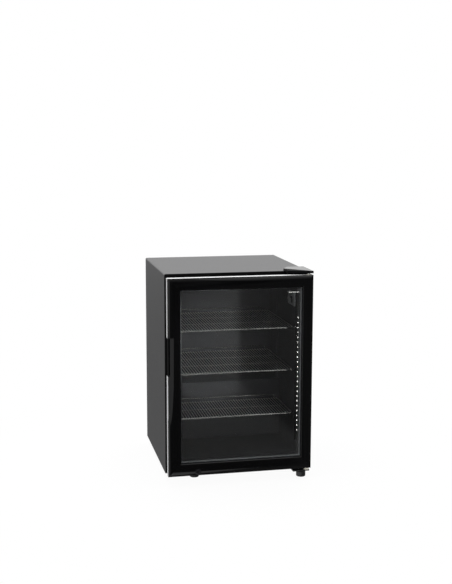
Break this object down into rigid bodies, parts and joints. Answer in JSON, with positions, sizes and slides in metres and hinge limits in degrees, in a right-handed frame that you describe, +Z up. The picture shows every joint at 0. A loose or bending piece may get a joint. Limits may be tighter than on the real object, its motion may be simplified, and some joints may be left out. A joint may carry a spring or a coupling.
{
  "type": "counter-top glass-door freezer",
  "caption": "Counter-top display freezer with a framed glass door, finger grip, key lock, lamp strip, wire shelves and a rear cooling circuit.",
  "frame": {"origin": "on the floor, under the middle of the whole object's box", "axes": "+Z up, the door faces -Y, +X to the right of someone facing the door"},
  "size_m": [0.43, 0.47, 0.6255],
  "materials": {
    "cabinet_paint": "satin black powder coat",
    "zinc_sheet": "zinc-plated sheet",
    "liner_plastic": "dark vacuum-formed plastic",
    "rigid_foam": "cream rigid foam",
    "door_plastic": "polished black",
    "clear_glass": "polished clear",
    "seal_rubber": "matt black",
    "chrome_wire": "bright plated",
    "black_steel": "black paint",
    "plated_steel": "zinc plated",
    "copper_pipe": "drawn copper",
    "lamp_metal": "satin anodised",
    "lamp_chip": "clear lens",
    "board": "white solder mask",
    "grey_plastic": "fine texture",
    "black_plastic": "fine texture",
    "nylon": "natural nylon",
    "edge_metal": "polished"
  },
  "bodies": {
    "cabinet": {"outer_shell": "cabinet_paint", "back_panel": "zinc_sheet", "back_panel_screws": "plated_steel", "base_pan": "zinc_sheet", "front_frame": "liner_plastic", "inner_liner": "liner_plastic", "insulation": "rigid_foam", "bay_cover": "zinc_sheet", "shelf_runners": "liner_plastic", "sensor_conduit": "liner_plastic", "control_housing": "grey_plastic", "led_channel": "lamp_metal", "led_board": "board", "led_chips": "lamp_chip", "lamp_bracket": "lamp_metal", "compressor": "black_steel", "compressor_grommets": "seal_rubber", "compressor_bolts": "plated_steel", "relay_box": "black_plastic", "drip_tray": "black_plastic", "drain_tube": "grey_plastic", "condenser": "black_steel", "condenser_standoffs": "black_plastic", "filter_drier": "copper_pipe", "capillary_tube": "copper_pipe", "suction_pipe": "copper_pipe", "discharge_pipe": "copper_pipe", "evaporator_coil": "copper_pipe", "cord_gland": "black_plastic", "upper_hinge_plate": "black_steel", "upper_hinge_pin": "plated_steel", "upper_hinge_screws": "plated_steel", "hinge_cover": "black_plastic", "lower_hinge_plate": "black_steel", "lower_hinge_pin": "plated_steel", "underside_screws": "plated_steel", "rear_feet": "black_plastic", "lock_keeper": "black_steel"},
    "door": {"door_stile_left": "door_plastic", "door_stile_right": "door_plastic", "door_rail_top": "door_plastic", "door_rail_bottom": "door_plastic", "glazing_beads": "black_plastic", "outer_glass": "clear_glass", "inner_glass": "clear_glass", "glass_spacer": "lamp_metal", "door_gasket": "seal_rubber", "gasket_magnets": "seal_rubber", "hinge_bushes": "nylon", "lock_housing": "chrome_wire", "door_edge_trim": "edge_metal"},
    "lock_barrel": {"lock_plug": "chrome_wire", "lock_cam": "plated_steel"},
    "thermostat_dial": {"thermostat_knob": "grey_plastic"},
    "lamp_switch": {"light_rocker": "black_plastic"},
    "lower_rack": {"lower_shelf": "chrome_wire"},
    "middle_rack": {"middle_shelf": "chrome_wire"},
    "upper_rack": {"upper_shelf": "chrome_wire"},
    "left_levelling_foot": {"front_left_foot": "black_plastic"},
    "right_levelling_foot": {"front_right_foot": "black_plastic"}
  },
  "joints": [
    {"name": "door_swing", "type": "hinge", "parent": "cabinet", "child": "door", "pos_m": [0.204, -0.222, 0.32], "axis": [0, 0, 1], "range_deg": [0, 110]},
    {"name": "lock_turn", "type": "hinge", "parent": "door", "child": "lock_barrel", "pos_m": [-0.1275, -0.217, 0.0425], "axis": [0, 1, 0], "range_deg": [0, 90]},
    {"name": "thermostat_turn", "type": "hinge", "parent": "cabinet", "child": "thermostat_dial", "pos_m": [0.176, -0.114, 0.529], "axis": [-1, 0, 0], "range_deg": [0, 270]},
    {"name": "lamp_switch_rock", "type": "hinge", "parent": "cabinet", "child": "lamp_switch", "pos_m": [0.1796, -0.138, 0.529], "axis": [0, 1, 0], "range_deg": [0, 16]},
    {"name": "lower_shelf_slide", "type": "slide", "parent": "cabinet", "child": "lower_rack", "axis": [0, -1, 0], "range_m": [0, 0.03]},
    {"name": "middle_shelf_slide", "type": "slide", "parent": "cabinet", "child": "middle_rack", "axis": [0, -1, 0], "range_m": [0, 0.03]},
    {"name": "upper_shelf_slide", "type": "slide", "parent": "cabinet", "child": "upper_rack", "axis": [0, -1, 0], "range_m": [0, 0.03]},
    {"name": "left_foot_turn", "type": "hinge", "parent": "cabinet", "child": "left_levelling_foot", "pos_m": [-0.123, -0.147, 0.01], "axis": [0, 0, 1], "continuous": true},
    {"name": "right_foot_turn", "type": "hinge", "parent": "cabinet", "child": "right_levelling_foot", "pos_m": [0.192, -0.2065, 0.01], "axis": [0, 0, 1], "continuous": true}
  ]
}
